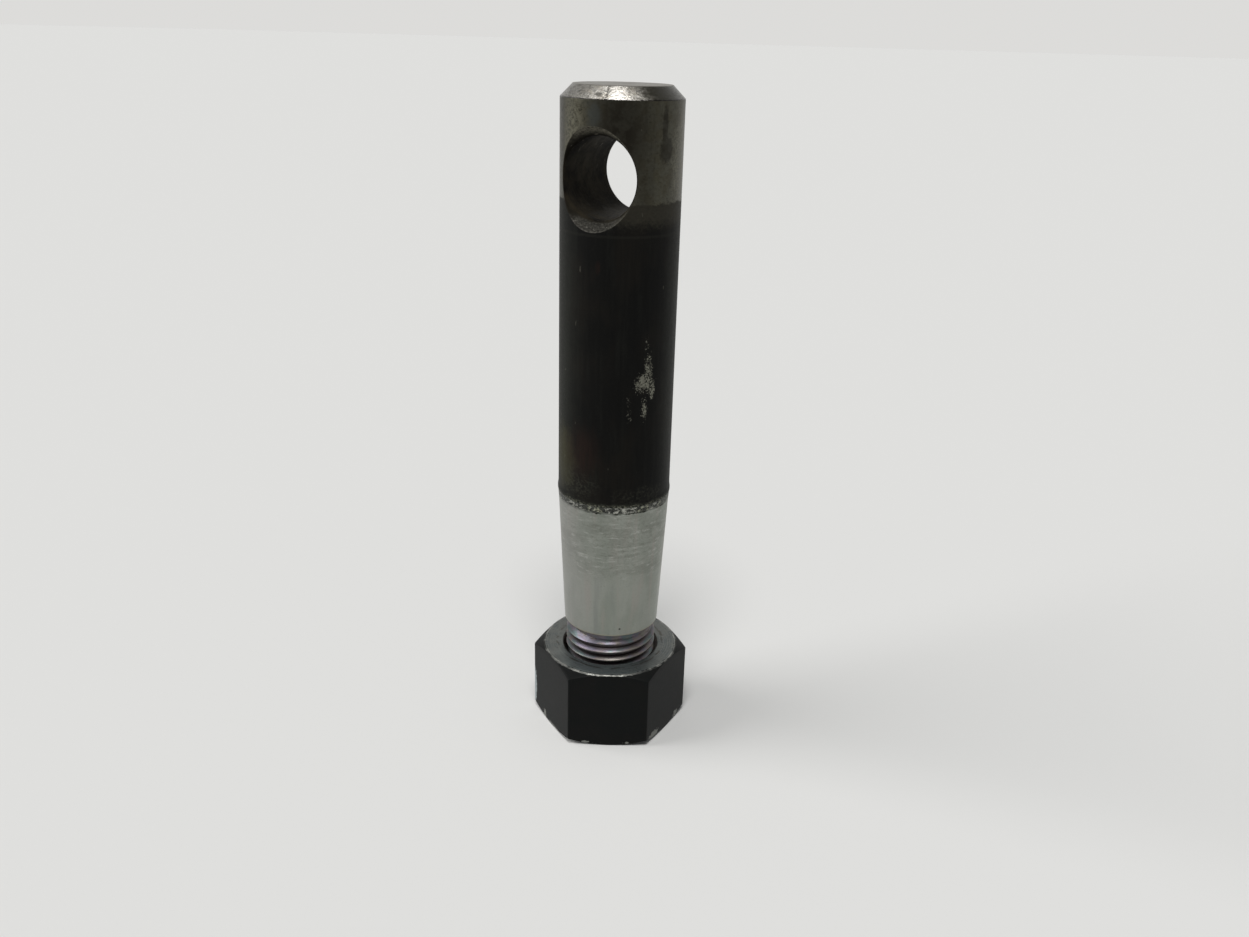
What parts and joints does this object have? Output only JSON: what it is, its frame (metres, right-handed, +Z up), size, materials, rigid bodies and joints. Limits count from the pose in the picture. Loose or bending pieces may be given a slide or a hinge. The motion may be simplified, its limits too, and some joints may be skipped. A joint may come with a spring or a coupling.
{
  "type": "taper pin",
  "caption": "Turned steel pin with a countersunk cross hole near its top, a taper seat below the plain shank and a threaded end carrying a hexagon nut.",
  "frame": {"origin": "centre of the nut's lower face, on the surface that the pin stands on", "axes": "+Z up the pin's axis from the nut to the cross-hole end; the cross hole runs along Y"},
  "size_m": [0.0312, 0.0346, 0.138],
  "materials": {
    "pin_steel": "satin",
    "nut_black": "satin"
  },
  "bodies": {
    "pin": {"taper_pin": "pin_steel"},
    "nut": {"hex_nut": "nut_black"}
  },
  "joints": [
    {"name": "nut_turn", "type": "hinge", "parent": "pin", "child": "nut", "pos_m": [0, 0, 0.009], "axis": [0, 0, 1], "continuous": true}
  ]
}
